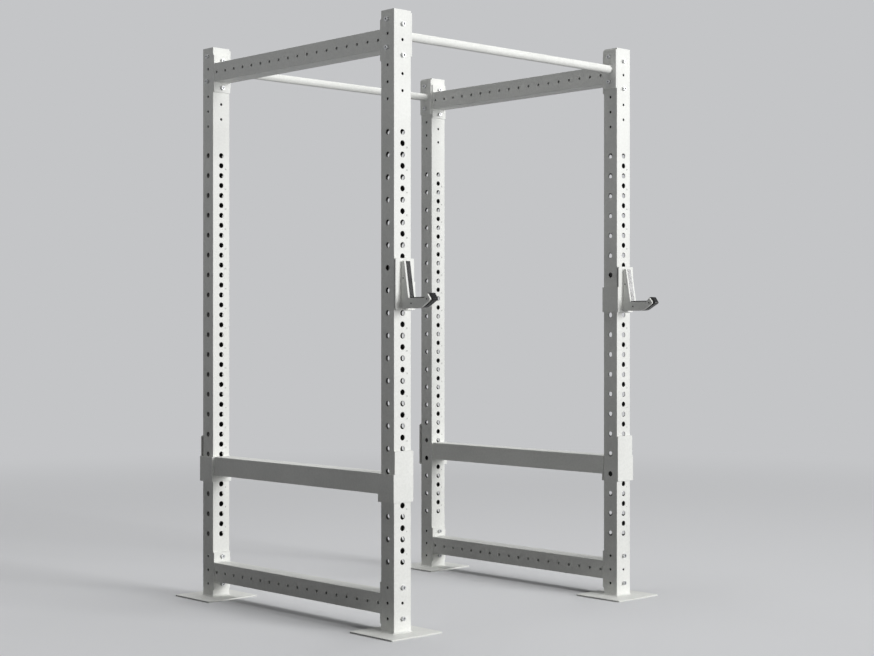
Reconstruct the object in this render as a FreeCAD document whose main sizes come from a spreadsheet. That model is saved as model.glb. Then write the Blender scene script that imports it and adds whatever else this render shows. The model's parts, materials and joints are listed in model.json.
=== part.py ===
import FreeCAD, Part
import Sketcher
import math
import os
import re

# Power rack: four punched uprights on foot plates, four bolted side crossmembers,
# two pull-up bars, two hooks for a barbell and two safety bars.
# Frame: origin on the floor at the middle of the footprint, +Z up,
# the front of the rack faces -Y, and the left side is -X.

os.makedirs("parts", exist_ok=True)
doc = FreeCAD.newDocument("power_rack")
sheet = doc.addObject("Spreadsheet::Sheet", "Sizes")

# Driving dimensions, in millimetres, degrees or plain counts
SIZES = (
    ("upright_width", 80, "outside width of the upright tube, across the rack"),
    ("upright_depth", 70, "outside depth of the upright tube, from front to rear"),
    ("upright_wall", 3, "wall of the upright tube"),
    ("tube_corner", 1.5, "outside corner radius of the uprights and square tubes"),
    ("upright_length", 2202, "length of an upright above its foot plate"),
    ("inside_width", 1112, "clear width between left and right uprights"),
    ("inside_depth", 1026, "clear depth between front and rear uprights"),
    ("foot_overhang", 80, "the foot plate stands out of the upright on all sides"),
    ("foot_thickness", 6, "thickness of the foot plate"),
    ("foot_corner", 6, "corner radius of the foot plate"),
    ("cap_thickness", 4, "thickness of the plug in the top of an upright"),
    ("cap_clearance", 0.2, "clearance of the plug in the tube"),
    ("hole_radius", 10.5, "radius of the large adjustment holes"),
    ("hole_pitch", 40, "pitch of the large holes on the front and rear faces"),
    ("hole_count", 39, "large holes in a front or rear face"),
    ("side_pitch_steps", 2, "front pitches between two large side holes"),
    ("side_hole_count", 20, "large holes in a side face"),
    ("hole_drop", 432, "top of the upright to the first large hole"),
    ("bolt_hole_radius", 5.5, "radius of the small holes"),
    ("bolt_spacing", 110, "spacing of the two bolts at a crossmember end"),
    ("upper_bolts_drop", 106, "top of the upright to the middle of the upper bolt pair"),
    ("lower_bolts_rise", 105, "foot of the upright to the middle of the lower bolt pair"),
    ("spare_pitch", 60, "pitch of the spare small holes"),
    ("front_spare_drop", 226, "top of the upright to the first spare front hole"),
    ("front_spare_count", 2, "spare small holes in the front face"),
    ("side_spare_drop", 195, "top of the upright to the first spare side hole"),
    ("side_spare_count", 3, "spare small holes in the side face"),
    ("cross_section", 74, "outside width of the square crossmember and safety tube"),
    ("cross_wall", 3, "wall of the crossmember and safety tube"),
    ("cross_offset", 5, "crossmember axis towards the upright's end from its bolts"),
    ("cross_hole_pitch", 58, "pitch of the small holes along a crossmember"),
    ("cross_hole_count", 18, "small holes along a crossmember"),
    ("cross_hole_radius", 5.5, "radius of the small holes along a crossmember"),
    ("plate_thickness", 6, "thickness of end plates and bar flanges"),
    ("plate_height", 150, "height of a crossmember end plate"),
    ("plate_margin", 0.5, "end plates and flanges inside the upright's edges"),
    ("plate_corner", 3, "corner radius of end plates and flanges"),
    ("bar_radius", 16, "radius of the pull-up bars"),
    ("bar_wall", 3, "wall of the pull-up bars"),
    ("bar_drop", 84, "top of the upright to the pull-up bar's axis"),
    ("flange_height", 156, "height of a pull-up bar flange"),
    ("flange_bolt_spacing", 100, "spacing of the two bolts of a flange"),
    ("screw_radius", 5, "radius of the frame bolts"),
    ("screw_head_radius", 8, "head radius of the frame bolts"),
    ("screw_head_height", 10, "head height of the frame bolts"),
    ("socket_radius", 4.6, "corner radius of the hexagon socket"),
    ("socket_depth", 5, "depth of the hexagon socket"),
    ("screw_end", 3, "thread that stands out of the nut"),
    ("nut_radius", 9.2, "corner radius of the hexagon nuts"),
    ("nut_height", 8, "height of the nuts"),
    ("saddle_width", 88, "width of a saddle plate over the upright's face"),
    ("saddle_thickness", 6, "thickness of the saddle's plate and cheek"),
    ("saddle_height", 182, "height of the saddle plate"),
    ("saddle_corner", 6, "corner radius of the saddle plate"),
    ("cheek_height", 100, "height of the saddle's side cheek"),
    ("saddle_rise", 33, "hole axis to the top edge of the saddle plate"),
    ("hook_gap", 6.5, "a hook's saddle plate to the upright's face"),
    ("safety_gap", 2.5, "a safety bar's saddle plates to the uprights' faces"),
    ("cheek_gap", 3, "cheek to the upright's side"),
    ("slide_clearance", 0.5, "running clearance of saddles and liners"),
    ("return_thickness", 6, "thickness of the plate between upright and safety tube"),
    ("pin_radius", 10, "radius of the locating pins"),
    ("cheek_pin_length", 24, "reach of a cheek pin past the cheek"),
    ("hook_hole_index", 12, "steps down from the first large hole to the hook's pin"),
    ("safety_hole_index", 29, "steps down from the first large hole to the saddle of a safety"),
    ("cheek_pin_steps", 3, "steps from a safety saddle's hole down to its cheek pin"),
    ("hook_plate_thickness", 8, "thickness of the hook's two steel side plates"),
    ("hook_core_width", 20, "width of the plastic core between the side plates"),
    ("hook_foot", 5, "saddle plate's lower edge to the hook's underside"),
    ("hook_height", 167, "height of the hook's side plates"),
    ("hook_top_depth", 16, "depth of the side plate at its top"),
    ("hook_heel_depth", 38, "depth of the side plate where the arm begins"),
    ("hook_arm_height", 36, "height of the hook's arm"),
    ("hook_rise_reach", 121, "saddle plate to the start of the arm's upturned nose"),
    ("hook_peak_reach", 136, "saddle plate to the nose's highest corner"),
    ("hook_peak_height", 50, "underside to the nose's highest corner"),
    ("hook_nose_reach", 153, "saddle plate to the nose's foremost corner"),
    ("hook_nose_height", 30, "underside to the nose's foremost corner"),
    ("hook_flat_reach", 104, "length of the flat underside"),
    ("hook_top_corner", 10, "radius of the side plate's upper rear corner"),
    ("hook_foot_corner", 8, "radius of the side plate's lower rear corner"),
    ("hook_sole_corner", 60, "radius between the flat underside and the nose"),
    ("hook_nose_corner", 6, "radius of the side plate's foremost corner"),
    ("core_proud", 3.5, "the core stands out of the side plates"),
    ("core_nose", 10, "the core stands out past the nose"),
    ("core_corner", 4, "rounding of the core's nose"),
    ("clamp_radius", 3, "radius of the hook's clamp screws"),
    ("clamp_sink", 1.5, "the clamp screws' ends lie below the side plates"),
    ("clamp_clearance", 0.2, "clearance of the clamp screws in the core"),
    ("clamp_inset", 10, "upper and nose clamp screws to the side plate's edges"),
    ("clamp_low_height", 17, "underside to the lower clamp screw"),
    ("clamp_low_reach", 51, "saddle plate to the lower clamp screw"),
    ("clamp_top_height", 107, "underside to the upper clamp screw"),
    ("clamp_nose_reach", 133, "saddle plate to the nose clamp screw"),
    ("clamp_nose_height", 32, "underside to the nose clamp screw"),
    ("overrun", 2, "cutters run past the face they cut"),
)
NAMES = {alias for alias, value, note in SIZES}
for row, (alias, value, note) in enumerate(SIZES, start=1):
    sheet.set(f"A{row}", note)
    sheet.set(f"B{row}", str(value))
    sheet.setAlias(f"B{row}", alias)
doc.recompute()

# Places and sizes that follow from the driving dimensions
AXIS_X = "((inside_width + upright_width) / 2)"
AXIS_Y = "((inside_depth + upright_depth) / 2)"
TOP = "(foot_thickness + upright_length)"
UPPER_BOLTS = f"({TOP} - upper_bolts_drop)"
LOWER_BOLTS = "(foot_thickness + lower_bolts_rise)"
FIRST_HOLE = f"({TOP} - hole_drop)"
BAR_HEIGHT = f"({TOP} - bar_drop)"
CROSS_LENGTH = "(inside_depth - 2 * plate_thickness)"
BAR_LENGTH = "(inside_width - 2 * plate_thickness)"
PLATE_WIDTH = "(upright_width - 2 * plate_margin)"
FLANGE_WIDTH = "(upright_depth - 2 * plate_margin)"
HALF_WIDTH = "(upright_width / 2)"
HALF_DEPTH = "(upright_depth / 2)"
HOOK_WIDTH = "(hook_core_width + 2 * hook_plate_thickness)"

nodes = []


def full(formula):
    """Write a formula of size names as a formula of sheet cells."""
    return re.sub(r"[a-z_]+", lambda m: "Sizes." + m[0] if m[0] in NAMES else m[0], formula)


def value_of(formula):
    """Work out a formula of size names as a number."""
    return float(sheet.evalExpression(full(formula)))


def bind(item, name, formula):
    """Tie one property of an object to the driving dimensions."""
    item.setExpression(name, full(str(formula)))


def place(item, x_formula, y_formula, z_formula):
    """Tie an object's position to the driving dimensions."""
    bind(item, "Placement.Base.x", x_formula)
    bind(item, "Placement.Base.y", y_formula)
    bind(item, "Placement.Base.z", z_formula)


def keep(item, name):
    """Name a finished sub-part and list it for export."""
    item.Label = name
    nodes.append(item)
    return item


def primitive(kind, label):
    item = doc.addObject(kind, label)
    item.Label = label
    return item


def box(label, length, width, height, x_formula, y_formula, z_formula):
    """A box given by its sizes and the place of its lowest corner."""
    item = primitive("Part::Box", label)
    bind(item, "Length", length)
    bind(item, "Width", width)
    bind(item, "Height", height)
    place(item, x_formula, y_formula, z_formula)
    return item


TURNS = {
    "x": FreeCAD.Rotation(FreeCAD.Vector(0, 1, 0), 90),
    "y": FreeCAD.Rotation(FreeCAD.Vector(1, 0, 0), -90),
    "z": FreeCAD.Rotation(),
}


def rod(label, axis, radius, length, x_formula, y_formula, z_formula):
    """A round rod that runs from its place along the positive axis."""
    item = primitive("Part::Cylinder", label)
    item.Placement.Rotation = TURNS[axis]
    bind(item, "Radius", radius)
    bind(item, "Height", length)
    place(item, x_formula, y_formula, z_formula)
    return item


def hexagon(label, axis, corner_radius, length, x_formula, y_formula, z_formula):
    """A six-sided bar that runs from its place along the positive axis."""
    item = primitive("Part::Prism", label)
    item.Placement.Rotation = TURNS[axis]
    item.Polygon = 6
    bind(item, "Circumradius", corner_radius)
    bind(item, "Height", length)
    place(item, x_formula, y_formula, z_formula)
    return item


def cut(label, base, *tools):
    """Take one or more tools out of a base."""
    item = primitive("Part::Cut", label)
    item.Base = base
    if len(tools) == 1:
        item.Tool = tools[0]
    else:
        item.Tool = gather(label + "_tools", tools)
    return item


def gather(label, members):
    """A group of separate solids in one object."""
    item = primitive("Part::Compound", label)
    item.Links = list(members)
    return item


def join(label, members):
    item = primitive("Part::MultiFuse", label)
    item.Shapes = list(members)
    item.Refine = True
    return item


def origin_feature(body, role):
    return next(item for item in body.Origin.OriginFeatures if item.Role == role)


def sketch_on(body, label, role, offset="0"):
    """A sketch on one of the body's origin planes, moved along its normal."""
    item = body.newObject("Sketcher::SketchObject", label)
    item.AttachmentSupport = [(origin_feature(body, role), "")]
    item.MapMode = "FlatFace"
    bind(item, "AttachmentOffset.Base.z", offset)
    return item


def measure(sketch, kind, references, formula):
    """Add a dimension to a sketch and tie it to the driving dimensions."""
    number = sketch.addConstraint(Sketcher.Constraint(kind, *references, value_of(formula)))
    bind(sketch, f"Constraints[{number}]", formula)


def rectangle_outline(sketch, width, height):
    """A rectangle about the sketch's origin."""
    half_u = value_of(width) / 2
    half_v = value_of(height) / 2
    corners = [(-half_u, -half_v), (half_u, -half_v), (half_u, half_v), (-half_u, half_v)]
    points = [FreeCAD.Vector(u, v, 0) for u, v in corners]
    for number in range(4):
        sketch.addGeometry(Part.LineSegment(points[number], points[(number + 1) % 4]), False)
    for number in range(4):
        sketch.addConstraint(Sketcher.Constraint("Coincident", number, 2, (number + 1) % 4, 1))
    for number, kind in enumerate(("Horizontal", "Vertical", "Horizontal", "Vertical")):
        sketch.addConstraint(Sketcher.Constraint(kind, number))
    sketch.addConstraint(Sketcher.Constraint("Symmetric", 0, 1, 1, 2, -1, 1))
    measure(sketch, "DistanceX", (0, 1, 0, 2), width)
    measure(sketch, "DistanceY", (1, 1, 1, 2), height)


def hole_outline(sketch, radius, height, across="0"):
    """One round hole at a height above the sketch's origin."""
    number = sketch.GeometryCount
    centre = FreeCAD.Vector(value_of(across), value_of(height), 0)
    sketch.addGeometry(Part.Circle(centre, FreeCAD.Vector(0, 0, 1), value_of(radius)), False)
    measure(sketch, "Radius", (number,), radius)
    if across == "0":
        sketch.addConstraint(Sketcher.Constraint("PointOnObject", number, 3, -2))
    else:
        measure(sketch, "DistanceX", (-1, 1, number, 3), across)
    measure(sketch, "DistanceY", (-1, 1, number, 3), height)


def through_pocket(body, label, sketch):
    """Punch a sketch through the whole body, both ways from its plane."""
    before = body.Shape.Volume
    item = body.newObject("PartDesign::Pocket", label)
    item.Profile = sketch
    item.Type = "ThroughAll"
    item.Midplane = True
    doc.recompute()
    if body.Shape.Volume >= before:
        raise RuntimeError(label + " cuts nothing")
    return item


def row_of_holes(body, label, role, radius, height, pitch, count):
    """Punch a row of round holes that runs down from a height."""
    sketch = sketch_on(body, label + "_sketch", role)
    hole_outline(sketch, radius, height)
    pocket = through_pocket(body, label + "_first", sketch)
    pattern = body.newObject("PartDesign::LinearPattern", label)
    pattern.Originals = [pocket]
    pattern.Direction = (origin_feature(body, "Z_Axis"), [""])
    pattern.Reversed = True
    bind(pattern, "Occurrences", count)
    bind(pattern, "Length", f"({pitch}) * (({count}) - 1)")
    body.Tip = pattern
    doc.recompute()
    return pattern


SAME_POINT = 0.001
AXIS_NUMBERS = {"XY_Plane": 2, "XZ_Plane": 1, "YZ_Plane": 0}


def round_corners(body, label, role, radius, corners=None):
    """Round the straight edges along the plane's normal, all of them or those at some corners."""
    axis = AXIS_NUMBERS[role]
    base = body.Tip
    names = []
    for number, edge in enumerate(base.Shape.Edges, start=1):
        spot = edge.Vertexes[0].Point
        run = edge.Vertexes[-1].Point - spot
        if not math.isclose(abs(run[axis]), edge.Length, rel_tol=SAME_POINT):
            continue
        spot[axis] = 0
        if corners is None or any(spot.isEqual(corner, SAME_POINT) for corner in corners):
            names.append(f"Edge{number}")
    fillet = body.newObject("PartDesign::Fillet", label)
    fillet.Base = (base, names)
    bind(fillet, "Radius", radius)
    body.Tip = fillet
    doc.recompute()


def hollow_tube(name, role, across, up, wall, length, offset="0"):
    """A square or rectangular tube along the normal of one origin plane."""
    body = doc.addObject("PartDesign::Body", name)
    outline = sketch_on(body, name + "_outline", role, offset)
    rectangle_outline(outline, across, up)
    pad = body.newObject("PartDesign::Pad", name + "_bar")
    pad.Profile = outline
    bind(pad, "Length", length)
    doc.recompute()
    round_corners(body, name + "_corners", role, "tube_corner")
    hollow = sketch_on(body, name + "_hollow_outline", role, offset)
    rectangle_outline(hollow, f"({across}) - 2 * ({wall})", f"({up}) - 2 * ({wall})")
    through_pocket(body, name + "_hollow", hollow)
    return body


SIDES = (("left", -1), ("right", 1))
ENDS = (("front", -1), ("rear", 1))


def upright(name, side, end):
    """One punched upright, its foot plate and the plug in its top."""
    body = hollow_tube(name, "XY_Plane", "upright_width", "upright_depth", "upright_wall",
                       "upright_length")
    rows = (
        ("front_holes", "XZ_Plane", "hole_radius", "upright_length - hole_drop",
         "hole_pitch", "hole_count"),
        ("side_holes", "YZ_Plane", "hole_radius", "upright_length - hole_drop",
         "hole_pitch * side_pitch_steps", "side_hole_count"),
        ("upper_bolt_holes", "XZ_Plane", "bolt_hole_radius",
         "upright_length - upper_bolts_drop + bolt_spacing / 2", "bolt_spacing / 2", "3"),
        ("lower_bolt_holes", "XZ_Plane", "bolt_hole_radius",
         "lower_bolts_rise + bolt_spacing / 2", "bolt_spacing / 2", "3"),
        ("lower_side_holes", "YZ_Plane", "bolt_hole_radius",
         "lower_bolts_rise + bolt_spacing / 2", "bolt_spacing / 2", "3"),
        ("flange_bolt_holes", "YZ_Plane", "bolt_hole_radius",
         "upright_length - bar_drop + flange_bolt_spacing / 2", "flange_bolt_spacing / 2", "3"),
        ("front_spare_holes", "XZ_Plane", "bolt_hole_radius",
         "upright_length - front_spare_drop", "spare_pitch", "front_spare_count"),
        ("side_spare_holes", "YZ_Plane", "bolt_hole_radius",
         "upright_length - side_spare_drop", "spare_pitch", "side_spare_count"),
    )
    for label, role, radius, height, pitch, count in rows:
        row_of_holes(body, f"{name}_{label}", role, radius, height, pitch, count)
    place(body, f"{side} * {AXIS_X}", f"{end} * {AXIS_Y}", "foot_thickness")
    return keep(body, name)


def rounded_plate(name, role, width, height, thickness, corner, corners=None):
    """A flat plate centred on its origin, with all or some of its corners rounded."""
    body = doc.addObject("PartDesign::Body", name)
    outline = sketch_on(body, name + "_outline", role)
    rectangle_outline(outline, width, height)
    pad = body.newObject("PartDesign::Pad", name + "_plate")
    pad.Profile = outline
    pad.Midplane = True
    bind(pad, "Length", thickness)
    doc.recompute()
    round_corners(body, name + "_corners", role, corner, corners)
    return body


def foot_plate(name, side, end):
    body = rounded_plate(name, "XY_Plane", "upright_width + 2 * foot_overhang",
                         "upright_depth + 2 * foot_overhang", "foot_thickness", "foot_corner")
    place(body, f"{side} * {AXIS_X}", f"{end} * {AXIS_Y}", "foot_thickness / 2")
    return keep(body, name)


def top_cap(name, side, end):
    """A flush plug that closes the top of an upright."""
    width = "(upright_width - 2 * upright_wall - 2 * cap_clearance)"
    depth = "(upright_depth - 2 * upright_wall - 2 * cap_clearance)"
    plug = box(name, width, depth, "cap_thickness", f"{side} * {AXIS_X} - {width} / 2",
               f"{end} * {AXIS_Y} - {depth} / 2", f"{TOP} - cap_thickness")
    return keep(plug, name)


def crossmember(name, side, height):
    """A side crossmember between the end plates of its front and rear uprights."""
    body = hollow_tube(name, "XZ_Plane", "cross_section", "cross_section", "cross_wall",
                       CROSS_LENGTH, f"-{CROSS_LENGTH} / 2")
    sketch = sketch_on(body, name + "_hole_sketch", "YZ_Plane")
    first = "(cross_hole_pitch * (cross_hole_count - 1) / 2)"
    hole_outline(sketch, "cross_hole_radius", "0", first)
    pocket = through_pocket(body, name + "_first_hole", sketch)
    pattern = body.newObject("PartDesign::LinearPattern", name + "_holes")
    pattern.Originals = [pocket]
    pattern.Direction = (origin_feature(body, "Y_Axis"), [""])
    pattern.Reversed = True
    bind(pattern, "Occurrences", "cross_hole_count")
    bind(pattern, "Length", f"2 * {first}")
    body.Tip = pattern
    doc.recompute()
    place(body, f"{side} * {AXIS_X}", "0", height)
    return keep(body, name)


def end_plate(name, side, end, middle, bolts):
    """A welded end plate with its two bolt holes."""
    plate = rounded_plate(name, "XZ_Plane", PLATE_WIDTH, "plate_height", "plate_thickness",
                          "plate_corner")
    for label, sign in (("upper", 1), ("lower", -1)):
        sketch = sketch_on(plate, f"{name}_{label}_hole_sketch", "XZ_Plane")
        hole_outline(sketch, "bolt_hole_radius", f"{bolts} - {middle} + {sign} * bolt_spacing / 2")
        through_pocket(plate, f"{name}_{label}_hole", sketch)
    place(plate, f"{side} * {AXIS_X}", f"{end} * (inside_depth - plate_thickness) / 2", middle)
    return keep(plate, name)


def pull_up_bar(name, end):
    """A round pull-up bar between its two flanges."""
    start = f"-{BAR_LENGTH} / 2"
    solid = rod(name + "_round", "x", "bar_radius", BAR_LENGTH, start, f"{end} * {AXIS_Y}", BAR_HEIGHT)
    bore = rod(name + "_bore", "x", "bar_radius - bar_wall", f"{BAR_LENGTH} + 2 * overrun",
               f"{start} - overrun", f"{end} * {AXIS_Y}", BAR_HEIGHT)
    return keep(cut(name, solid, bore), name)


def bar_flange(name, side, end):
    plate = rounded_plate(name, "YZ_Plane", FLANGE_WIDTH, "flange_height", "plate_thickness",
                          "plate_corner")
    for label, sign in (("upper", 1), ("lower", -1)):
        sketch = sketch_on(plate, f"{name}_{label}_hole_sketch", "YZ_Plane")
        hole_outline(sketch, "bolt_hole_radius", f"{sign} * flange_bolt_spacing / 2")
        through_pocket(plate, f"{name}_{label}_hole", sketch)
    place(plate, f"{side} * (inside_width - plate_thickness) / 2", f"{end} * {AXIS_Y}", BAR_HEIGHT)
    return keep(plate, name)


GRIPS = {"x": "(upright_width + plate_thickness)", "y": "(upright_depth + plate_thickness)"}


def frame_bolt(label, axis, x_formula, y_formula, z_formula):
    """A cap screw whose head lies before the place and whose shank runs on past it."""
    back = {"x": (1, 0), "y": (0, 1)}[axis]
    length = f"({GRIPS[axis]} + nut_height + screw_end)"

    def at(step):
        return (f"{x_formula} + {back[0]} * ({step})", f"{y_formula} + {back[1]} * ({step})", z_formula)

    head = rod(label + "_head", axis, "screw_head_radius", "screw_head_height", *at("-screw_head_height"))
    shank = rod(label + "_shank", axis, "screw_radius", length, *at("0"))
    socket = hexagon(label + "_socket", axis, "socket_radius", "socket_depth + overrun",
                     *at("-screw_head_height - overrun"))
    return cut(label, join(label + "_blank", (head, shank)), socket)


def frame_nut(label, axis, x_formula, y_formula, z_formula):
    """A nut on the far side of the joint, bored to the shank."""
    forward = {"x": (1, 0), "y": (0, 1)}[axis]
    x_far = f"{x_formula} + {forward[0]} * {GRIPS[axis]}"
    y_far = f"{y_formula} + {forward[1]} * {GRIPS[axis]}"
    x_cut = f"{x_far} - {forward[0]} * overrun"
    y_cut = f"{y_far} - {forward[1]} * overrun"
    blank = hexagon(label + "_blank", axis, "nut_radius", "nut_height", x_far, y_far, z_formula)
    bore = rod(label + "_bore", axis, "screw_radius", "nut_height + 2 * overrun", x_cut, y_cut, z_formula)
    return cut(label, blank, bore)


def frame_fasteners():
    """All bolts and nuts of the crossmembers and of the pull-up bars."""
    joints = {"crossmember": [], "pull_up": []}
    for side_name, side in SIDES:
        for end_name, end in ENDS:
            face = f"{end} * {AXIS_Y} - {HALF_DEPTH}"
            if end_name == "rear":
                face = f"{face} - plate_thickness"
            for level, middle in (("upper", UPPER_BOLTS), ("lower", LOWER_BOLTS)):
                for sign in (-1, 1):
                    spot = (f"{side} * {AXIS_X}", face, f"{middle} + {sign} * bolt_spacing / 2")
                    joints["crossmember"].append(("y", spot))
            face = f"{side} * {AXIS_X} - {HALF_WIDTH}"
            if side_name == "right":
                face = f"{face} - plate_thickness"
            for sign in (-1, 1):
                spot = (face, f"{end} * {AXIS_Y}", f"{BAR_HEIGHT} + {sign} * flange_bolt_spacing / 2")
                joints["pull_up"].append(("x", spot))
    for group, spots in joints.items():
        bolts = []
        nuts = []
        for number, (axis, spot) in enumerate(spots, start=1):
            bolts.append(frame_bolt(f"{group}_bolt_{number}", axis, *spot))
            nuts.append(frame_nut(f"{group}_nut_{number}", axis, *spot))
        keep(gather(f"{group}_bolts", bolts), f"{group}_bolts")
        keep(gather(f"{group}_nuts", nuts), f"{group}_nuts")


def saddle(label, side, cheek_side, end, hole, wrapped):
    """The bent steel saddle that a hook or a safety bar sits on.

    The plate lies over the upright's outer face, the cheek beside the lower part
    of the upright, and a wrapped saddle goes on behind it as a return plate.
    """
    out = end
    gap = "safety_gap" if wrapped else "hook_gap"
    axis_x = f"{side} * {AXIS_X}"
    face_y = f"{out} * ({AXIS_Y} + {HALF_DEPTH})"
    bottom = f"({hole} + saddle_rise - saddle_height)"
    half_width = value_of("saddle_width / 2")
    half_height = value_of("saddle_height / 2")
    free = ((-1, 1), (1, 1), (-cheek_side, -1))
    corners = [FreeCAD.Vector(u * half_width, 0, v * half_height) for u, v in free]
    plate = rounded_plate(label + "_plate", "XZ_Plane", "saddle_width", "saddle_height",
                          "saddle_thickness", "saddle_corner", corners)
    place(plate, axis_x, f"{face_y} + {out} * ({gap} + saddle_thickness / 2)",
          f"{hole} + saddle_rise - saddle_height / 2")
    cheek_middle = f"({axis_x} + {cheek_side} * ({HALF_WIDTH} + cheek_gap + saddle_thickness / 2))"
    cheek_x = f"({cheek_middle} - saddle_thickness / 2)"
    reach = f"(saddle_thickness + {gap} + upright_depth"
    depth = f"{reach} - slide_clearance)"
    if wrapped:
        depth = f"{reach} + slide_clearance + return_thickness)"
    outer_y = f"({face_y} + {out} * ({gap} + saddle_thickness))"
    low_cheek = f"({outer_y} - {out} * {depth} / 2 - {depth} / 2)"
    cheek = box(label + "_cheek", "saddle_thickness", depth, "cheek_height", cheek_x, low_cheek, bottom)
    members = [plate, cheek]
    if wrapped:
        return_middle = "(inside_depth / 2 - slide_clearance - return_thickness / 2)"
        inner_y = f"({out} * {return_middle} - return_thickness / 2)"
        members.append(box(label + "_return", "saddle_width", "return_thickness", "cheek_height",
                           f"{axis_x} - saddle_width / 2", inner_y, bottom))
    return join(label, members)


def saddle_liner(label, side, end, hole, gap, pin_hole):
    """The plastic pad that fills the gap between a saddle plate and the upright's face."""
    thickness = f"({gap} - slide_clearance)"
    face_y = f"{end} * ({AXIS_Y} + {HALF_DEPTH})"
    low_y = f"({face_y} + {end} * (slide_clearance + {thickness} / 2) - {thickness} / 2)"
    bottom = f"({hole} + saddle_rise - saddle_height + saddle_corner)"
    pad = box(label + "_pad", "upright_width", thickness, "saddle_height - 2 * saddle_corner",
              f"{side} * {AXIS_X} - {HALF_WIDTH}", low_y, bottom)
    if not pin_hole:
        return pad
    tool = rod(label + "_hole", "y", "pin_radius + slide_clearance", f"{thickness} + 2 * overrun",
               f"{side} * {AXIS_X}", f"{low_y} - overrun", hole)
    return cut(label, pad, tool)


def hook_corners(proud, nose):
    """Corners of the hook's outline: reach before the saddle and height above its foot."""
    slope = "(hook_heel_depth - hook_top_depth) / hook_height"
    arm_top = f"hook_arm_height + {proud}"
    peak = f"hook_peak_height + {proud}"
    corners = [
        ("0", "0"),
        ("0", "hook_height"),
        (f"hook_top_depth + {proud} * {slope}", "hook_height"),
        ("hook_heel_depth", arm_top),
        (f"hook_rise_reach - {proud}", arm_top),
        (f"hook_peak_reach - {proud}", peak),
        (f"hook_peak_reach + {nose}", peak),
        (f"hook_nose_reach + {nose}", "hook_nose_height"),
        (f"hook_flat_reach + {proud}", "0"),
    ]
    if nose == "0":
        del corners[6]
    return corners


def hook_slab(name, left_edge, width, hole, corners, roundings):
    """A slab of the hook's outline, standing before the saddle plate."""
    body = doc.addObject("PartDesign::Body", name)
    sketch = sketch_on(body, name + "_outline", "YZ_Plane")
    points = [FreeCAD.Vector(-value_of(reach), value_of(height), 0) for reach, height in corners]
    count = len(points)
    for number in range(count):
        sketch.addGeometry(Part.LineSegment(points[number], points[(number + 1) % count]), False)
    for number in range(count):
        sketch.addConstraint(Sketcher.Constraint("Coincident", number, 2, (number + 1) % count, 1))
    for number, (reach, height) in enumerate(corners):
        if reach == "0":
            sketch.addConstraint(Sketcher.Constraint("PointOnObject", number, 1, -2))
        else:
            measure(sketch, "DistanceX", (number, 1, -1, 1), reach)
        if height == "0":
            sketch.addConstraint(Sketcher.Constraint("PointOnObject", number, 1, -1))
        else:
            measure(sketch, "DistanceY", (-1, 1, number, 1), height)
    pad = body.newObject("PartDesign::Pad", name + "_pad")
    pad.Profile = sketch
    bind(pad, "Length", width)
    doc.recompute()
    for label, numbers, radius in roundings:
        spots = [FreeCAD.Vector(0, points[number].x, points[number].y) for number in numbers]
        round_corners(body, f"{name}_{label}", "YZ_Plane", radius, spots)
    front = f"-{AXIS_Y} - {HALF_DEPTH} - hook_gap - saddle_thickness"
    place(body, left_edge, front, f"{hole} + saddle_rise - saddle_height + hook_foot")
    return body


def hook(side_name, side):
    """One hook: saddle, liner, pin, two steel side plates, plastic core and clamp screws."""
    prefix = f"{side_name}_hook"
    hole = f"({FIRST_HOLE} - hook_hole_index * hole_pitch)"
    inward = -side
    axis_x = f"{side} * {AXIS_X}"
    face_y = f"(-{AXIS_Y} - {HALF_DEPTH})"
    keep(saddle(f"{prefix}_saddle", side, inward, -1, hole, False), f"{prefix}_saddle")
    keep(saddle_liner(f"{prefix}_liner", side, -1, hole, "hook_gap", True), f"{prefix}_liner")
    pin = rod(f"{prefix}_pin", "y", "pin_radius", "hook_gap + upright_depth", axis_x,
              f"{face_y} - hook_gap", hole)
    keep(pin, f"{prefix}_pin")

    clamps = (
        ("top", "clamp_inset", "clamp_top_height"),
        ("low", "clamp_low_reach", "clamp_low_height"),
        ("nose", "clamp_nose_reach", "clamp_nose_height"),
    )
    front = f"({face_y} - hook_gap - saddle_thickness)"
    foot = f"({hole} + saddle_rise - saddle_height + hook_foot)"
    left = f"({axis_x} - {HOOK_WIDTH} / 2)"
    screws = []
    tools = []
    for label, reach, height in clamps:
        spot_y = f"{front} - {reach}"
        spot_z = f"{foot} + {height}"
        screws.append(rod(f"{prefix}_{label}_clamp", "x", "clamp_radius",
                          f"{HOOK_WIDTH} - 2 * clamp_sink", f"{left} + clamp_sink", spot_y, spot_z))
        tools.append(rod(f"{prefix}_{label}_clamp_hole", "x", "clamp_radius + clamp_clearance",
                         f"{HOOK_WIDTH} + 2 * overrun", f"{left} - overrun", spot_y, spot_z))
    drill = gather(f"{prefix}_clamp_holes", tools)

    plates = []
    for number, start in enumerate((left, f"({axis_x} + hook_core_width / 2)"), start=1):
        slab = hook_slab(f"{prefix}_plate_{number}_blank", start, "hook_plate_thickness", hole,
                         hook_corners("0", "0"),
                         (("foot", (0,), "hook_foot_corner"), ("top", (1,), "hook_top_corner"),
                          ("sole", (7,), "hook_sole_corner"), ("nose", (6,), "hook_nose_corner")))
        plates.append(cut(f"{prefix}_plate_{number}", slab, drill))
    keep(gather(f"{prefix}_side_plates", plates), f"{prefix}_side_plates")
    core = hook_slab(f"{prefix}_core_blank", f"({axis_x} - hook_core_width / 2)", "hook_core_width",
                     hole, hook_corners("core_proud", "core_nose"),
                     (("foot", (0,), "hook_foot_corner"), ("sole", (8,), "hook_sole_corner"),
                      ("nose", (6, 7), "core_corner")))
    keep(cut(f"{prefix}_core", core, drill), f"{prefix}_core")
    keep(gather(f"{prefix}_clamp_screws", screws), f"{prefix}_clamp_screws")


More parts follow.
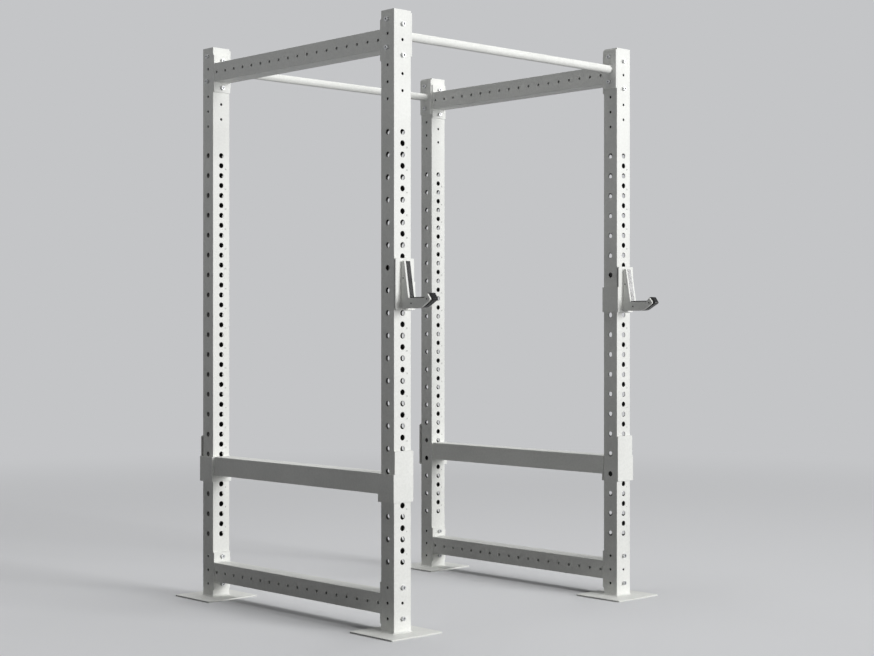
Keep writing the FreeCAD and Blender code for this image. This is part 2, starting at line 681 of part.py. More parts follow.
def safety_bar(side_name, side):
    """One safety bar: tube, front and rear saddles, their liners and cheek pins."""
    prefix = f"{side_name}_safety"
    hole = f"({FIRST_HOLE} - safety_hole_index * hole_pitch)"
    top = f"({hole} + saddle_rise - saddle_height + cheek_height)"
    tube_length = "(inside_depth - 2 * slide_clearance - 2 * return_thickness)"
    body = hollow_tube(f"{prefix}_tube", "XZ_Plane", "cross_section", "cross_section",
                       "cross_wall", tube_length, f"-{tube_length} / 2")
    place(body, f"{side} * {AXIS_X}", "0", f"{top} - cross_section / 2")
    keep(body, f"{prefix}_tube")
    liners = []
    pins = []
    pin_height = f"({hole} - cheek_pin_steps * hole_pitch)"
    cheek_inner = f"({HALF_WIDTH} + cheek_gap)"
    middle = f"({side} * ({AXIS_X} + {cheek_inner} - cheek_pin_length / 2))"
    for end_name, end in ENDS:
        label = f"{prefix}_{end_name}"
        keep(saddle(f"{label}_saddle", side, side, end, hole, True), f"{label}_saddle")
        liners.append(saddle_liner(f"{label}_liner", side, end, hole, "safety_gap", False))
        pins.append(rod(f"{label}_pin", "x", "pin_radius", "cheek_pin_length",
                        f"{middle} - cheek_pin_length / 2", f"{end} * {AXIS_Y}", pin_height))
    keep(gather(f"{prefix}_liners", liners), f"{prefix}_liners")
    keep(gather(f"{prefix}_pins", pins), f"{prefix}_pins")


for side_name, side in SIDES:
    for end_name, end in ENDS:
        upright(f"{end_name}_{side_name}_upright", side, end)
        foot_plate(f"{end_name}_{side_name}_foot_plate", side, end)
        top_cap(f"{end_name}_{side_name}_top_cap", side, end)
        bar_flange(f"{end_name}_{side_name}_bar_flange", side, end)
    for level, bolts, sign in (("upper", UPPER_BOLTS, 1), ("lower", LOWER_BOLTS, -1)):
        axis = f"({bolts} + {sign} * cross_offset)"
        crossmember(f"{level}_{side_name}_crossmember", side, axis)
        for end_name, end in ENDS:
            plate_middle = f"({bolts} + {sign} * cross_offset / 2)"
            end_plate(f"{level}_{side_name}_{end_name}_end_plate", side, end, plate_middle, bolts)
    hook(side_name, side)
    safety_bar(side_name, side)
for end_name, end in ENDS:
    pull_up_bar(f"{end_name}_pull_up_bar", end)
frame_fasteners()
doc.recompute()

for item in doc.Objects:
    if any(word in ("Invalid", "Error") for word in item.State):
        raise RuntimeError(f"{item.Label} failed: {item.State}")
for item in nodes:
    shape = item.Shape
    if shape.isNull() or not shape.isValid() or not shape.Solids:
        raise RuntimeError(f"{item.Label} has no valid solid")
    shape.exportStep(f"parts/{item.Label}.step")
print(len(nodes), "nodes written")
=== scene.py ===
# %% [markdown]
# # A power rack in white powder coat
#
# The steel parts of this rack come in as a finished model with every hole in its place.
# The lesson gives them their real finishes, adds the welds, hole numbers and softened
# plate edges that the plain solids lack, and sets up a quiet studio round them.

# %% Load the steel model
import json
import math

import bpy
from mathutils import Matrix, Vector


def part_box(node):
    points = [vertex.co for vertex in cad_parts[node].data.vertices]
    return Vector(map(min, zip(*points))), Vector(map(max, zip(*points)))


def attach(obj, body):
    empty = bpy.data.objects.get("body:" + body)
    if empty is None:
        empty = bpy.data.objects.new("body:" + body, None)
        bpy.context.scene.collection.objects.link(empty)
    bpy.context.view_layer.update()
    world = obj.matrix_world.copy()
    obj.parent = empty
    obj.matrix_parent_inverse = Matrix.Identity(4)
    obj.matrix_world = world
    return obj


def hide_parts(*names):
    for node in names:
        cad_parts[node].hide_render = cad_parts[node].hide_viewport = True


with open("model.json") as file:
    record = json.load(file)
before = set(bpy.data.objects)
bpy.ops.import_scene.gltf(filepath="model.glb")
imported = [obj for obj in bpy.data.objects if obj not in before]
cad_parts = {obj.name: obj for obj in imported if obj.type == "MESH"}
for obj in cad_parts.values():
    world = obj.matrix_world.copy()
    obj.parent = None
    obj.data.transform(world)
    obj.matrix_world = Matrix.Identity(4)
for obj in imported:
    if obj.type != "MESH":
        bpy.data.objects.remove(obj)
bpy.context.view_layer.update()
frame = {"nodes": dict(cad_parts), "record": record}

nodes = frame["nodes"]
bodies = frame["record"]["behaviour"]["bodies"]
print("parts loaded:", len(nodes))

# %% [markdown]
# Operators act on everything that is selected, and a fresh import is selected all over.
# One small helper clears the selection and picks exactly the objects that come next.

# %% Select exactly these objects
scene = bpy.context.scene


def select_only(*objects):
    """Leaves only these objects selected, the last one active."""
    bpy.ops.object.select_all(action="DESELECT")
    for item in objects:
        item.select_set(True)
    bpy.context.view_layer.objects.active = objects[-1]


select_only(nodes["front_left_upright"])
print("selected:", [item.name for item in bpy.context.selected_objects])

# %% [markdown]
# Colours are written as the hex values that a paint chart gives, and the renderer wants
# linear light, so one function turns one into the other.

# %% Colours
def linear(hex_colour):
    """Turns an sRGB hex colour into linear red, green, blue and alpha."""
    channels = [int(hex_colour[start:start + 2], 16) / 255 for start in (0, 2, 4)]
    bent = [c / 12.92 if c <= 0.04045 else ((c + 0.055) / 1.055) ** 2.4 for c in channels]
    return (*bent, 1.0)


print("a chart white in linear light:", [round(c, 3) for c in linear("ECEDE9")])

# %% [markdown]
# All the finishes are built from shader nodes. One function adds a node of any kind with
# its settings and its links, and one starts a new finish.

# %% Node helpers
def add_node(tree, kind, inputs=None, **settings):
    """Adds a node, sets its options, and fills or links its inputs."""
    node = tree.nodes.new(kind)
    for name, value in settings.items():
        setattr(node, name, value)
    for name, value in (inputs or {}).items():
        if isinstance(value, bpy.types.NodeSocket):
            tree.links.new(value, node.inputs[name])
        else:
            node.inputs[name].default_value = value
    return node


def new_finish(name):
    """Makes a material and returns it with its node tree and its main shader."""
    material = bpy.data.materials.new(name)
    material.use_nodes = True
    tree = material.node_tree
    return material, tree, tree.nodes["Principled BSDF"]


print("node helpers:", add_node.__name__, new_finish.__name__)

# %% [markdown]
# The walls seen through the holes get a dark steel tone. It is painted shade for the dark
# inside of a tube, and bare steel too, where the powder does not reach. A finish can tell
# the inner walls from the outer ones by their distance from the middle of the rack,
# because the four uprights stand evenly round it.

# %% Bare steel and painted shade inside a tube
def near_either_side(tree, place, axis, distance, reach):
    """1 where a coordinate is within reach of plus or minus a distance, else 0."""
    split = add_node(tree, "ShaderNodeSeparateXYZ", {"Vector": place})
    outward = add_node(tree, "ShaderNodeMath", {0: split.outputs[axis]}, operation="ABSOLUTE")
    return add_node(tree, "ShaderNodeMath", {0: outward.outputs[0], 1: distance, 2: reach},
                    operation="COMPARE").outputs[0]


def steel_and_shade_inside(tree, place, colour, steel, spans):
    """Paints a dark steel tone, standing for shade, instead of the colour where all the spans
    hold.
    """
    inside = 1.0
    for span in spans:
        near = near_either_side(tree, place, *span)
        inside = add_node(tree, "ShaderNodeMath", {0: near, 1: inside},
                          operation="MULTIPLY").outputs[0]
    # The dark steel tone is painted shade inside the tube, as well as bare steel.
    return add_node(tree, "ShaderNodeMixRGB", {"Fac": inside, "Color1": colour,
                                               "Color2": steel}).outputs["Color"]


print("uprights with bare insides:", sum(name.endswith("_upright") for name in nodes))

# %% [markdown]
# A weld bead sets in ripples, one behind the other and 1 or 2 mm apart. They are drawn
# nearly 12 mm apart here, or they would be too fine to show. The bands of the wave pattern
# lie diagonally, so that they cross the beads in every direction, and they bend the
# surface under the powder.

# %% Weld ripples
WAVE_PITCH = math.tau / 10
ripple_pitch = 0.011781
ripple_depth = 0.0006


def weld_ripples(tree, place, skin):
    """Adds the ripples of a weld bead under a skin with a bump of its own.

    A wave of scale 1 with diagonal bands repeats every WAVE_PITCH metres along an axis.
    """
    wave = add_node(tree, "ShaderNodeTexWave", {"Vector": place,
                                                "Scale": WAVE_PITCH / ripple_pitch,
                                                "Distortion": 1.5},
                    wave_type="BANDS", bands_direction="DIAGONAL")
    return add_node(tree, "ShaderNodeBump", {"Height": wave.outputs["Fac"], "Strength": 0.6,
                                             "Distance": ripple_depth,
                                             "Normal": skin.outputs["Normal"]})


print("weld ripples every", round(ripple_pitch * 1000, 1), "mm")

# %% [markdown]
# The frame is steel with a white polyester powder coat. The powder is sprayed on dry and
# baked, so it flows into a skin with a faint orange peel about 2 mm across and a satin
# shine. Seen along the light the skin looks slightly mottled. Three noise patterns give
# this: a fine one bends the surface, a coarser one shifts the tone and the shine by a
# little, and broad clouds of 200 mm shift the tone once more. The coarser one is drawn
# 9 mm wide, wider than the real speckle, so that it still shows from across a room. A
# noise seldom leaves the range from 0.3 to 0.7, and the sum of two stays near 1, so both
# are stretched from there.

# %% White powder coat
PEEL = 0.002
SPECKLE = 0.009
CLOUD = 0.2
peel_depth = 0.0001
noise_low, noise_high = 0.3, 0.7
sum_low, sum_high = 0.75, 1.25
satin_low, satin_high = 0.46, 0.56
# Dark steel tones for the tube insides: painted shade, and bare steel as well.
deep_steel_and_shade, pale_steel_and_shade = "2A2928", "3A3937"


def powder_coat(name, deep, pale, on_weld=False, shaded_spans=()):
    """A baked powder skin over steel, on a plain face or on a weld.

    Where all the shaded spans hold, (axis, distance, reach) each, the steel is uncoated and its
    dark tone is painted shade as well.
    """
    material, tree, shader = new_finish(name)
    place = add_node(tree, "ShaderNodeTexCoord").outputs["Object"]
    speckle = add_node(tree, "ShaderNodeTexNoise", {"Vector": place, "Scale": 1 / SPECKLE,
                                                    "Detail": 3.0})
    cloud = add_node(tree, "ShaderNodeTexNoise", {"Vector": place, "Scale": 1 / CLOUD,
                                                  "Detail": 2.0})
    both = add_node(tree, "ShaderNodeMath", {0: speckle.outputs["Fac"], 1: cloud.outputs["Fac"]},
                    operation="ADD")
    tone = add_node(tree, "ShaderNodeMapRange", {"Value": both.outputs[0],
                                                 "From Min": sum_low, "From Max": sum_high})
    colour = add_node(tree, "ShaderNodeMixRGB", {"Fac": tone.outputs[0], "Color1": linear(deep),
                                                 "Color2": linear(pale)}).outputs["Color"]
    # Inside the tubes the colour becomes a dark steel tone, which is painted shade as well as bare
    # steel.
    if shaded_spans:
        steel = add_node(tree, "ShaderNodeMixRGB", {"Fac": tone.outputs[0],
                                                    "Color1": linear(deep_steel_and_shade),
                                                    "Color2": linear(pale_steel_and_shade)})
        colour = steel_and_shade_inside(tree, place, colour, steel.outputs["Color"], shaded_spans)
    tree.links.new(colour, shader.inputs["Base Color"])
    shine = add_node(tree, "ShaderNodeMapRange", {"Value": speckle.outputs["Fac"],
                                                  "From Min": noise_low,
                                                  "From Max": noise_high,
                                                  "To Min": satin_low, "To Max": satin_high})
    tree.links.new(shine.outputs[0], shader.inputs["Roughness"])
    peel = add_node(tree, "ShaderNodeTexNoise", {"Vector": place, "Scale": 1 / PEEL,
                                                 "Detail": 1.0})
    bump = add_node(tree, "ShaderNodeBump", {"Height": peel.outputs["Fac"], "Strength": 0.25,
                                             "Distance": peel_depth})
    if on_weld:
        bump = weld_ripples(tree, place, bump)
    tree.links.new(bump.outputs["Normal"], shader.inputs["Normal"])
    return material


print("speckle of", SPECKLE * 1000, "mm, clouds of", CLOUD * 1000, "mm")

# %% White on plates and on welds
white_coat = powder_coat("white_powder_coat", "E5E6E2", "EFF0EC")
weld_coat = powder_coat("white_powder_coat_on_weld", "E2E3DF", "EDEEEA", on_weld=True)
print("white coats:", white_coat.name, weld_coat.name)

# %% [markdown]
# The frame bolts are zinc plated steel, a bright metal that catches small sharp lights.
# The hook's clamp screws are black oxide steel: the bath turns the steel itself nearly
# black and leaves a slight oily shine, which a dark metal with medium roughness gives.

# %% Zinc bolts and black screws
PLATING_GRAIN = 0.001


def bolt_coat(name, deep, pale, low_shine, high_shine):
    """A thin coating on small steel parts, with a grain of about 1 mm."""
    material, tree, shader = new_finish(name)
    place = add_node(tree, "ShaderNodeTexCoord").outputs["Object"]
    grain = add_node(tree, "ShaderNodeTexNoise", {"Vector": place, "Scale": 1 / PLATING_GRAIN,
                                                  "Detail": 3.0})
    colour = add_node(tree, "ShaderNodeMixRGB", {"Fac": grain.outputs["Fac"],
                                                 "Color1": linear(deep), "Color2": linear(pale)})
    tree.links.new(colour.outputs["Color"], shader.inputs["Base Color"])
    shine = add_node(tree, "ShaderNodeMapRange", {"Value": grain.outputs["Fac"],
                                                  "To Min": low_shine, "To Max": high_shine})
    tree.links.new(shine.outputs[0], shader.inputs["Roughness"])
    shader.inputs["Metallic"].default_value = 1.0
    return material


bright_zinc = bolt_coat("bright_zinc_plating", "B9BABB", "CBCCCD", 0.3, 0.42)
black_oxide = bolt_coat("black_oxide_steel", "1B1B1C", "2E2E30", 0.35, 0.55)
print("bolt finishes:", bright_zinc.name, black_oxide.name)

# %% [markdown]
# The hook's core is a slab of black polyethylene, cut from a thick sheet and polished by
# the bars that lie on it, which leaves shallow dents about 4 mm wide. The pads behind the
# saddles and the plugs in the uprights are moulded from the same kind of plastic with a
# dull skin and fine pits of 1.5 mm. A haze changes the tone and the shine of both a
# little, in patches of about 17 mm. Waxy plastics like this mirror a little less than
# paint, so their specular level is low.

# %% Black plastics
HAZE_PER_METRE = 60.0


def black_plastic(name, deep, pale, low_shine, high_shine, mirror, pit, depth):
    """Polyethylene with a given specular level, and pits of a given width and depth."""
    material, tree, shader = new_finish(name)
    place = add_node(tree, "ShaderNodeTexCoord").outputs["Object"]
    haze = add_node(tree, "ShaderNodeTexNoise", {"Vector": place, "Scale": HAZE_PER_METRE,
                                                 "Detail": 4.0})
    colour = add_node(tree, "ShaderNodeMixRGB", {"Fac": haze.outputs["Fac"],
                                                 "Color1": linear(deep), "Color2": linear(pale)})
    tree.links.new(colour.outputs["Color"], shader.inputs["Base Color"])
    shine = add_node(tree, "ShaderNodeMapRange", {"Value": haze.outputs["Fac"],
                                                  "From Min": noise_low,
                                                  "From Max": noise_high,
                                                  "To Min": low_shine, "To Max": high_shine})
    tree.links.new(shine.outputs[0], shader.inputs["Roughness"])
    skin = add_node(tree, "ShaderNodeTexNoise", {"Vector": place, "Scale": 1 / pit,
                                                 "Detail": 2.0})
    bump = add_node(tree, "ShaderNodeBump", {"Height": skin.outputs["Fac"], "Strength": 0.3,
                                             "Distance": depth})
    tree.links.new(bump.outputs["Normal"], shader.inputs["Normal"])
    shader.inputs["Specular IOR Level"].default_value = mirror
    return material


polished_core = black_plastic("polished_black_polyethylene", "0A0A0B", "121213", 0.22, 0.28,
                              mirror=0.4, pit=0.004, depth=0.00005)
dull_pad = black_plastic("dull_black_polyethylene", "121213", "1C1C1D", 0.5, 0.65,
                         mirror=0.25, pit=0.0015, depth=0.0001)
print("plastics:", polished_core.name, dull_pad.name)

# %% [markdown]
# Every steel part already has its shape, so it only needs its finish. The record names a
# material slot for each part, and a short table turns the slot into a finish. The tubes
# of the uprights get a finish of their own, whose inner walls have a dark steel tone:
# painted shade, and bare hot-rolled steel too, and that is why the holes look dark. The
# walls are 3 mm thick, so everything deeper than 2.5 mm counts as the inside.

# %% Dress the parts
coated_depth = 0.0025
finish_of_slot = {
    "white_powder_coat": white_coat,
    "coated_fasteners": bright_zinc,
    "black_plastic": dull_pad,
    "gloss_black_plastic": polished_core,
    "blackened_steel": black_oxide,
}
low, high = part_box("front_right_upright")
upright_middle = (low + high) / 2
inner_x = (high.x - low.x) / 2 - coated_depth
inner_y = (high.y - low.y) / 2 - coated_depth
# The upright tubes get painted shade inside: a dark steel tone on their inner walls.
tube_coat_shaded_inside = powder_coat("white_powder_coat_on_upright_shaded_inside", "E5E6E2", "EFF0EC",
                        shaded_spans=(("X", upright_middle.x, inner_x), ("Y", -upright_middle.y, inner_y)))
slot_of_node = {part["node"]: part["material_slot"] for part in frame["record"]["subparts"]}
body_of_node = {node: body for body, members in bodies.items() for node in members}
for name, item in nodes.items():
    for material_slot in item.material_slots:
        material_slot.material = finish_of_slot[slot_of_node[name]]
    if name.endswith("_upright"):
        item.material_slots[0].material = tube_coat_shaded_inside
print("parts dressed:", len(slot_of_node))

# %% [markdown]
# Laser-cut plates are tumbled before they are coated, and the baked powder rounds their
# edges a little more. On the plates, saddles and hooks these soft edges catch the light,
# and so do the rounded heads of the bolts. The imported mesh is loose triangles, so each
# part is copied, its points are merged, its flat faces are joined, and a narrow bevel
# goes round every sharp edge. The shading is then weighted by face size, or the bevels
# would bend the light on the large flat faces. The copy stands for the plain part.

# %% A helper that softens edges
same_point = 0.00001
flat_within = math.radians(2)
sharp_from = math.radians(40)
smooth_within = math.radians(50)


def soften(node_name, radius, segments):
    """Makes a copy of one part with rounded edges, to be shown in its place."""
    source = nodes[node_name]
    piece = bpy.data.objects.new(node_name + "_soft_edged", source.data.copy())
    scene.collection.objects.link(piece)
    select_only(piece)
    bpy.ops.mesh.customdata_custom_splitnormals_clear()
    bpy.ops.object.mode_set(mode="EDIT")
    bpy.ops.mesh.select_all(action="SELECT")
    bpy.ops.mesh.remove_doubles(threshold=same_point)
    bpy.ops.mesh.dissolve_limited(angle_limit=flat_within)
    bpy.ops.object.mode_set(mode="OBJECT")
    bevel = piece.modifiers.new("soft edge", "BEVEL")
    bevel.width = radius
    bevel.segments = segments
    bevel.limit_method = "ANGLE"
    bevel.angle_limit = sharp_from
    bpy.ops.object.modifier_apply(modifier=bevel.name)
    bpy.ops.object.shade_smooth_by_angle(angle=smooth_within)
    even = piece.modifiers.new("flat faces stay flat", "WEIGHTED_NORMAL")
    even.keep_sharp = True
    bpy.ops.object.modifier_apply(modifier=even.name)
    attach(piece, body_of_node[node_name])
    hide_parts(node_name)
    return piece


print("edges sharper than", round(math.degrees(sharp_from)), "degrees will be rounded")

# %% Soften plates, bolts and cores
plate_edge = 0.0009
core_edge = 0.0018
softened = []
for name in nodes:
    if name.endswith(("_plate", "_flange", "_saddle", "_side_plates", "_bolts")):
        softened.append(soften(name, plate_edge, 2))
    if name.endswith("_hook_core"):
        softened.append(soften(name, core_edge, 3))
print("softened:", len(softened), "pieces")

# %% [markdown]
# Plates and tubes are joined by fillet welds, which run round the tube as a small bead.
# A bead starts as the flat outline of the tube plus the bead's leg. Insetting it by the
# leg gives the outline of the tube, and raising that face makes the side that lies on the
# tube. With the lid taken off, the two open rims are bridged, and that bridge is the
# sloping face of the bead. The same steps serve for square tubes and for round bars.

# %% Raise a bead from an outline
def raise_bead(leg):
    """Turns the active flat outline into a closed bead of a given leg."""
    bpy.ops.object.mode_set(mode="EDIT")
    bpy.ops.mesh.select_mode(type="FACE")
    bpy.ops.mesh.select_all(action="SELECT")
    bpy.ops.mesh.inset(thickness=leg, use_even_offset=True)
    bpy.ops.mesh.extrude_region_move(TRANSFORM_OT_translate={"value": (0, 0, leg)})
    bpy.ops.mesh.delete(type="ONLY_FACE")
    bpy.ops.mesh.select_mode(type="EDGE")
    bpy.ops.mesh.select_all(action="DESELECT")
    bpy.ops.mesh.select_non_manifold()
    bpy.ops.mesh.bridge_edge_loops()
    bpy.ops.mesh.select_all(action="SELECT")
    bpy.ops.mesh.normals_make_consistent(inside=False)
    bpy.ops.object.mode_set(mode="OBJECT")
    bpy.ops.object.shade_smooth_by_angle(angle=math.radians(30))
    piece = bpy.context.active_object
    piece.data.materials.append(weld_coat)
    return piece


print("beads are coated with", weld_coat.name)

# %% Outlines of tubes and bars
def tube_bead(width, depth, corner, leg):
    """A bead round a tube of a given width and depth, lying on the floor plane."""
    bpy.ops.mesh.primitive_plane_add(size=1)
    bpy.ops.transform.resize(value=(width + 2 * leg, depth + 2 * leg, 1))
    bpy.ops.object.transform_apply(location=False, rotation=False, scale=True)
    bpy.ops.object.mode_set(mode="EDIT")
    bpy.ops.mesh.bevel(affect="VERTICES", offset=corner + leg, segments=4)
    bpy.ops.object.mode_set(mode="OBJECT")
    return raise_bead(leg)


def round_bead(radius, leg):
    """A bead round a bar, lying on the floor plane."""
    bpy.ops.mesh.primitive_circle_add(vertices=48, radius=radius + leg, fill_type="NGON")
    return raise_bead(leg)


print("bead helpers:", tube_bead.__name__, round_bead.__name__)

# %% [markdown]
# Three beads are made, in metres: 5 mm round the uprights, which carry the rack, 2.4 mm
# round the crossmembers, whose end plates leave no room for more, and 4 mm round the
# pull-up bars.

# %% The three beads
tube_corner = 0.0015
foot_bead = tube_bead(width=0.080, depth=0.070, corner=tube_corner, leg=0.005)
cross_bead = tube_bead(width=0.074, depth=0.074, corner=tube_corner, leg=0.0024)
bar_bead = round_bead(radius=0.016, leg=0.004)
print("bead points:", [len(bead.data.vertices) for bead in (foot_bead, cross_bead, bar_bead)])

# %% [markdown]
# Each bead is now copied to its joints. A copy has its own mesh, and its turn and place
# go straight into that mesh, so the object itself stays at the origin. The beads are made
# facing up, so a small table of turns tips them over to face along the rack or across it.
# The places come from the parts' own boxes, so the beads sit where tube meets plate.

# %% Set the beads at their joints
quarter = math.pi / 2
turn_to = {
    "up": Matrix.Identity(4),
    "right": Matrix.Rotation(quarter, 4, "Y"),
    "left": Matrix.Rotation(-quarter, 4, "Y"),
    "back": Matrix.Rotation(-quarter, 4, "X"),
    "front": Matrix.Rotation(quarter, 4, "X"),
}


def weld(label, bead, body, spots):
    """Copies a bead to a list of (centre, facing) spots and joins the copies."""
    copies = []
    for centre, facing in spots:
        copy = bpy.data.objects.new(label, bead.data.copy())
        scene.collection.objects.link(copy)
        copy.data.transform(Matrix.Translation(centre) @ turn_to[facing])
        copies.append(copy)
    select_only(*copies)
    bpy.ops.object.join()
    piece = bpy.context.active_object
    piece.name = label
    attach(piece, body)
    return piece


def ends_along_depth(node_name):
    """The two (centre, facing) spots at the front and rear ends of a tube."""
    low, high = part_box(node_name)
    middle = (low + high) / 2
    return [((middle.x, low.y, middle.z), "back"), ((middle.x, high.y, middle.z), "front")]


print("a bead can face:", list(turn_to))

# %% Weld the frame
foot_spots = []
tube_spots = []
bar_spots = []
for name in nodes:
    low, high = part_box(name)
    middle = (low + high) / 2
    if name.endswith("_upright"):
        foot_spots.append(((middle.x, middle.y, low.z), "up"))
    if name.endswith("_crossmember"):
        tube_spots.extend(ends_along_depth(name))
    if name.endswith("_pull_up_bar"):
        bar_spots.append(((low.x, middle.y, middle.z), "right"))
        bar_spots.append(((high.x, middle.y, middle.z), "left"))
weld("foot_welds", foot_bead, "frame", foot_spots)
weld("crossmember_welds", cross_bead, "frame", tube_spots)
weld("pull_up_bar_welds", bar_bead, "frame", bar_spots)
print("frame beads:", len(foot_spots) + len(tube_spots) + len(bar_spots))

# %% [markdown]
# The tube of a safety bar is flush with the top of the plate that it is welded to, so its
# bead runs only down the sides and underneath. The bead is cut off a hair below the top
# of the tube, so that no face of it is left lying on the tube.

# %% Weld the safety bars
below_top = 0.0003
for side in ("left", "right"):
    tube = side + "_safety_tube"
    piece = weld(side + "_safety_welds", cross_bead, side + "_safety_bar", ends_along_depth(tube))
    select_only(piece)
    bpy.ops.object.mode_set(mode="EDIT")
    bpy.ops.mesh.select_all(action="SELECT")
    bpy.ops.mesh.bisect(plane_co=(0, 0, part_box(tube)[1].z - below_top), plane_no=(0, 0, 1),
                        use_fill=True, clear_outer=True)
    bpy.ops.object.mode_set(mode="OBJECT")
for bead in (foot_bead, cross_bead, bar_bead):
    bpy.data.objects.remove(bead)
print("safety bars welded")

# %% [markdown]
# Every second hole in the front faces has its number beside it, so that both ends of a
# safety bar can be hung at the same height. The numbers are about 7 mm tall and pale
# grey. Their ink spreads a little unevenly, in patches of about 1.4 mm.

# %% Ink for the numbers
INK_PATCHES_PER_METRE = 700.0
ink, ink_tree, ink_shader = new_finish("grey_marking_ink")
ink_place = add_node(ink_tree, "ShaderNodeTexCoord").outputs["Object"]
ink_spread = add_node(ink_tree, "ShaderNodeTexNoise", {"Vector": ink_place,
                                                       "Scale": INK_PATCHES_PER_METRE})
ink_colour = add_node(ink_tree, "ShaderNodeMixRGB", {"Fac": ink_spread.outputs["Fac"],
                                                     "Color1": linear("8C8D8B"),
                                                     "Color2": linear("A3A4A2")})
ink_tree.links.new(ink_colour.outputs["Color"], ink_shader.inputs["Base Color"])
ink_shader.inputs["Roughness"].default_value = 0.6
print("ink:", ink.name)

# %% [markdown]
# The numbers count up from the lowest hole. Text is set for one upright and given the
# thickness of a layer of ink. It is then made into one mesh and copied to the other
# three.

# %% A number beside its hole
HOLES = 39
PITCH = 0.040
TOP_HOLE = 1.776
number_right, number_down = 0.020, 0.014
number_size, ink_layer = 0.0095, 0.00006


def set_number(step, centre_x, face_y):
    """The number of one hole, counted in steps down from the highest, as thin text."""
    height = TOP_HOLE - step * PITCH - number_down
    bpy.ops.object.text_add(location=(centre_x + number_right, face_y - ink_layer, height),
                            rotation=(quarter, 0, 0))
    text = bpy.context.active_object
    text.data.body = str(HOLES - step)
    text.data.size = number_size
    text.data.extrude = ink_layer
    text.data.resolution_u = 3
    text.data.align_x = "CENTER"
    text.data.align_y = "CENTER"
    return text


print("numbers from", HOLES - 1, "down to 2 at a pitch of", 2 * PITCH, "m")

# %% Number one upright
low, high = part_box("front_left_upright")
first_x, first_y = (low.x + high.x) / 2, low.y
texts = [set_number(step, first_x, first_y) for step in range(1, HOLES, 2)]
select_only(*texts)
bpy.ops.object.convert(target="MESH")
bpy.ops.object.join()
bpy.ops.object.transform_apply(location=True, rotation=True, scale=True)
numbers = bpy.context.active_object
numbers.name = "front_left_hole_numbers"
numbers.data.materials.clear()
numbers.data.materials.append(ink)
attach(numbers, "frame")
print("numbers:", len(texts), "with", len(numbers.data.polygons), "faces")

# %% Copy the numbers to the other uprights
for place in ("front_right", "rear_left", "rear_right"):
    low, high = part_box(place + "_upright")
    copy = bpy.data.objects.new(place + "_hole_numbers", numbers.data.copy())
    scene.collection.objects.link(copy)
    copy.data.transform(Matrix.Translation(((low.x + high.x) / 2 - first_x, low.y - first_y, 0)))
    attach(copy, "frame")
print("uprights numbered: 4")

# %% [markdown]
# The studio has a pale surround that shows its tone when it is looked at directly, in a
# reflection or through something clear. For all other light it counts as something else,
# so a helper tells the two apart.

# %% What is seen directly
SURROUND = "C4C5C7"


def seen_directly(tree):
    """1 for what the eye sees, straight, mirrored or through glass, 0 for other light."""
    rays = add_node(tree, "ShaderNodeLightPath")
    seen = rays.outputs["Is Camera Ray"]
    for other in ("Is Glossy Ray", "Is Transmission Ray"):
        seen = add_node(tree, "ShaderNodeMath", {0: seen, 1: rays.outputs[other]},
                        operation="MAXIMUM").outputs[0]
    return seen


print("surround in linear light:", [round(c, 3) for c in linear(SURROUND)])

# %% [markdown]
# The floor is a plain pale one that runs out to the surround. It has to show the soft
# shadow of the rack, but its far edge should not show at all. So its finish changes with
# the distance from the rack: near it the floor is an ordinary matt surface, and further
# out it takes the exact tone of the surround. To the light that bounces up from it the
# floor counts as a darker one, so that the shaded sides stay shaded.

# %% Pale floor
floor_width = 160
floor_matt_to, floor_plain_from = 2.5, 8.0
bpy.ops.mesh.primitive_plane_add(size=floor_width)
floor = bpy.context.active_object
floor.name = "studio_floor"
floor_finish = bpy.data.materials.new("matt_studio_floor")
floor_finish.use_nodes = True
tree = floor_finish.node_tree
tree.nodes.clear()
place = add_node(tree, "ShaderNodeTexCoord").outputs["Object"]
distance = add_node(tree, "ShaderNodeVectorMath", {0: place}, operation="LENGTH")
outward = add_node(tree, "ShaderNodeMapRange", {"Value": distance.outputs["Value"],
                                                "From Min": floor_matt_to,
                                                "From Max": floor_plain_from},
                   interpolation_type="SMOOTHSTEP")
shade = add_node(tree, "ShaderNodeMixRGB", {"Fac": seen_directly(tree),
                                            "Color1": linear("707071"),
                                            "Color2": linear("E0E1E3")})
matt = add_node(tree, "ShaderNodeBsdfDiffuse", {"Color": shade.outputs["Color"]})
plain = add_node(tree, "ShaderNodeEmission", {"Color": linear(SURROUND)})
mixed = add_node(tree, "ShaderNodeMixShader", {"Fac": outward.outputs[0], 1: matt.outputs[0],
                                               2: plain.outputs[0]})
add_node(tree, "ShaderNodeOutputMaterial", {"Surface": mixed.outputs[0]})
floor.data.materials.append(floor_finish)
print("floor:", floor.dimensions.x, "m wide")

# %% [markdown]
# To the light that falls on the rack the surround is a weak even fill, which keeps the
# shaded sides readable without flattening them.

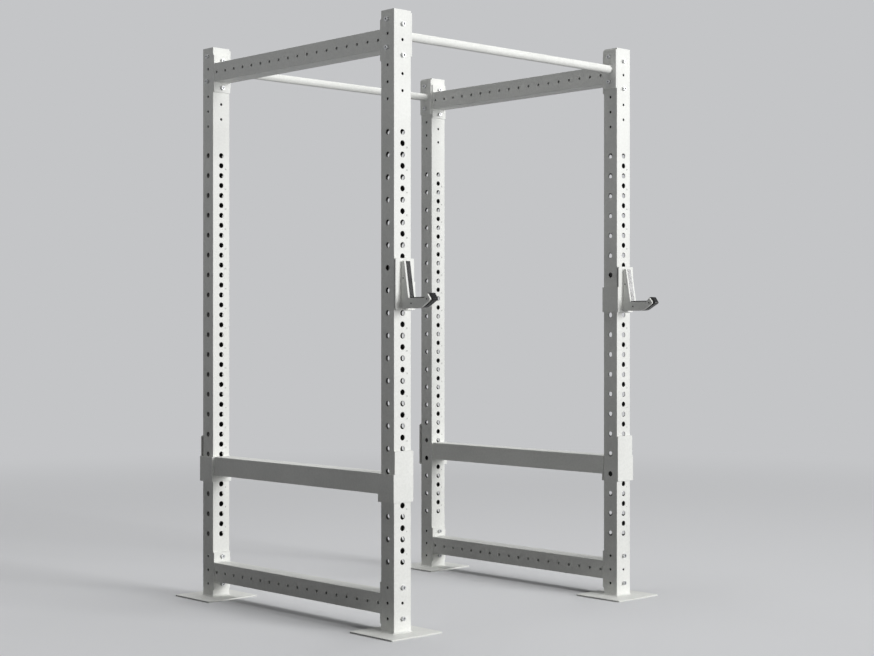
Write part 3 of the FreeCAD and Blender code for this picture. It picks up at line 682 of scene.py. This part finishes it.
# %% Surround and fill light
FILL = 0.07
world = bpy.data.worlds.new("pale_surround")
scene.world = world
world.use_nodes = True
tree = world.node_tree
tree.nodes.clear()
fill = add_node(tree, "ShaderNodeBackground", {"Color": linear("FFFFFF"), "Strength": FILL})
shown = add_node(tree, "ShaderNodeBackground", {"Color": linear(SURROUND)})
mixed = add_node(tree, "ShaderNodeMixShader", {"Fac": seen_directly(tree), 1: fill.outputs[0],
                                               2: shown.outputs[0]})
add_node(tree, "ShaderNodeOutputWorld", {"Surface": mixed.outputs[0]})
print("fill strength:", FILL)

# %% [markdown]
# The main light is a large soft window, a little above the rack's middle and far out in
# front of it, slightly to the right. It falls full on the front faces and leaves the left
# faces to the fill, which is what makes the box tubes read as boxes. A second, weaker one
# overhead lifts the top faces. A small card further round to the right throws no light on
# matt surfaces: it only shows in reflections, and makes the right hook's core shine.

# %% Soft lamps
rack_middle = (0, 0, 1.0)
right_hook = (0.6, -0.6, 1.3)


def soft_window(label, place, target, side, power):
    """A square soft light at a place, aimed at a target, in metres and watts."""
    bpy.ops.object.light_add(type="AREA", location=place)
    lamp = bpy.context.active_object
    lamp.name = label
    lamp.data.shape = "SQUARE"
    lamp.data.size = side
    lamp.data.energy = power
    aim = Matrix.Translation(target).to_translation() - lamp.location
    lamp.rotation_euler = aim.to_track_quat("-Z", "Y").to_euler()
    return lamp


main_window = soft_window("main_window", (4.9, -20.3, 4.6), rack_middle, side=8.0, power=3640)
soft_window("top_window", (0.5, 0.5, 15.0), rack_middle, side=8.0, power=1250)
mirror_card = soft_window("mirror_card", (10.3, -7.7, 4.3), right_hook, side=2.2, power=380)
mirror_card.visible_diffuse = False
print("main light", round(main_window.location.length, 1), "m from the rack")

# %% [markdown]
# The camera stands 1.08 m above the floor, nearly six metres off the front left upright,
# and looks roughly along the diagonal. It isn't tilted, so the uprights stay parallel.
# The tiny sideways shift sets the rack where it belongs in the frame.

# %% Camera
eye = (-4.4418, -4.901, 1.083)
turned_right = math.radians(43)
bpy.ops.object.camera_add(location=eye, rotation=(quarter, 0, -turned_right))
camera = bpy.context.active_object
camera.data.sensor_width = 36.0
camera.data.lens = 67.4
camera.data.shift_x = -0.0034
camera.data.clip_end = 200.0
scene.camera = camera
scene.view_settings.view_transform = "Standard"
print("lens:", camera.data.lens, "mm")
